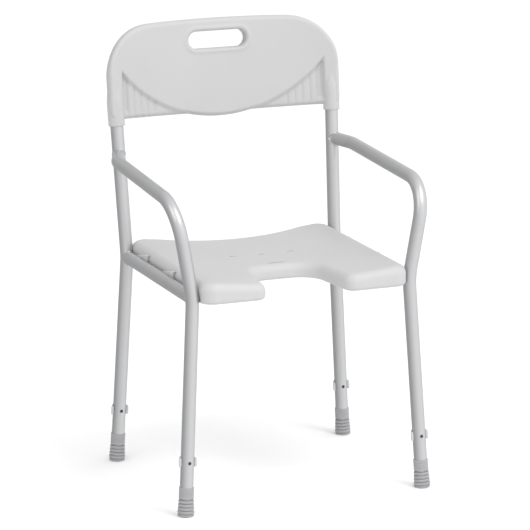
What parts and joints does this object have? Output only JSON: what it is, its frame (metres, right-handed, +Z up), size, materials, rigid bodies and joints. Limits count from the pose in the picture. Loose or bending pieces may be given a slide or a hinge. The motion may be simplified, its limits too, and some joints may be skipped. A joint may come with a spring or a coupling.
{
  "type": "shower chair",
  "caption": "Shower chair with a bowed backrest, moulded seat with a front cut-out, bent-tube arms and telescopic legs on rubber tips.",
  "frame": {"origin": "under the middle of the chair's bounding box, on the floor plane z = 0 with the legs fully retracted", "axes": "+Z up, the sitter faces -Y, +X is the right side as seen from in front of the chair"},
  "size_m": [0.5274, 0.5018, 0.858],
  "materials": {
    "seat_plastic": "fine texture, semi-matte",
    "back_plastic": "fine texture, semi-matte",
    "clip_plastic": "smooth, semi-matte",
    "cuff_plastic": "smooth, semi-matte",
    "tip_rubber": "matte",
    "frame_tube": "satin anodised",
    "extension_tube": "satin anodised",
    "bright_steel": "plain"
  },
  "bodies": {
    "frame": {"seat": "seat_plastic", "backrest": "back_plastic", "back_screws": "bright_steel", "rear_post_left": "frame_tube", "rear_post_right": "frame_tube", "front_leg_arm_left": "frame_tube", "front_leg_arm_right": "frame_tube", "side_rail_left": "frame_tube", "side_rail_right": "frame_tube", "leg_cuff_front_left": "cuff_plastic", "leg_cuff_front_right": "cuff_plastic", "leg_cuff_rear_left": "cuff_plastic", "leg_cuff_rear_right": "cuff_plastic"},
    "foot_front_left": {"leg_extension_front_left": "extension_tube", "rubber_tip_front_left": "tip_rubber", "tip_washer_front_left": "bright_steel"},
    "clip_front_left": {"height_clip_front_left": "clip_plastic", "clip_pin_front_left": "bright_steel"},
    "foot_front_right": {"leg_extension_front_right": "extension_tube", "rubber_tip_front_right": "tip_rubber", "tip_washer_front_right": "bright_steel"},
    "clip_front_right": {"height_clip_front_right": "clip_plastic", "clip_pin_front_right": "bright_steel"},
    "foot_rear_left": {"leg_extension_rear_left": "extension_tube", "rubber_tip_rear_left": "tip_rubber", "tip_washer_rear_left": "bright_steel"},
    "clip_rear_left": {"height_clip_rear_left": "clip_plastic", "clip_pin_rear_left": "bright_steel"},
    "foot_rear_right": {"leg_extension_rear_right": "extension_tube", "rubber_tip_rear_right": "tip_rubber", "tip_washer_rear_right": "bright_steel"},
    "clip_rear_right": {"height_clip_rear_right": "clip_plastic", "clip_pin_rear_right": "bright_steel"}
  },
  "joints": [
    {"name": "height_front_left", "type": "slide", "parent": "frame", "child": "foot_front_left", "axis": [-0.0568, -0.0471, -0.9973], "range_m": [0, 0.0762]},
    {"name": "pull_front_left", "type": "slide", "parent": "frame", "child": "clip_front_left", "axis": [-0.0027, 0.9989, -0.0471], "range_m": [0, 0.028]},
    {"name": "height_front_right", "type": "slide", "parent": "frame", "child": "foot_front_right", "axis": [0.0568, -0.0471, -0.9973], "range_m": [0, 0.0762]},
    {"name": "pull_front_right", "type": "slide", "parent": "frame", "child": "clip_front_right", "axis": [0.0027, 0.9989, -0.0471], "range_m": [0, 0.028]},
    {"name": "height_rear_left", "type": "slide", "parent": "frame", "child": "foot_rear_left", "axis": [-0.0569, 0.0133, -0.9983], "range_m": [0, 0.0762]},
    {"name": "pull_rear_left", "type": "slide", "parent": "frame", "child": "clip_rear_left", "axis": [0.0008, 0.9999, 0.0133], "range_m": [0, 0.028]},
    {"name": "height_rear_right", "type": "slide", "parent": "frame", "child": "foot_rear_right", "axis": [0.0569, 0.0133, -0.9983], "range_m": [0, 0.0762]},
    {"name": "pull_rear_right", "type": "slide", "parent": "frame", "child": "clip_rear_right", "axis": [-0.0008, 0.9999, 0.0133], "range_m": [0, 0.028]}
  ]
}
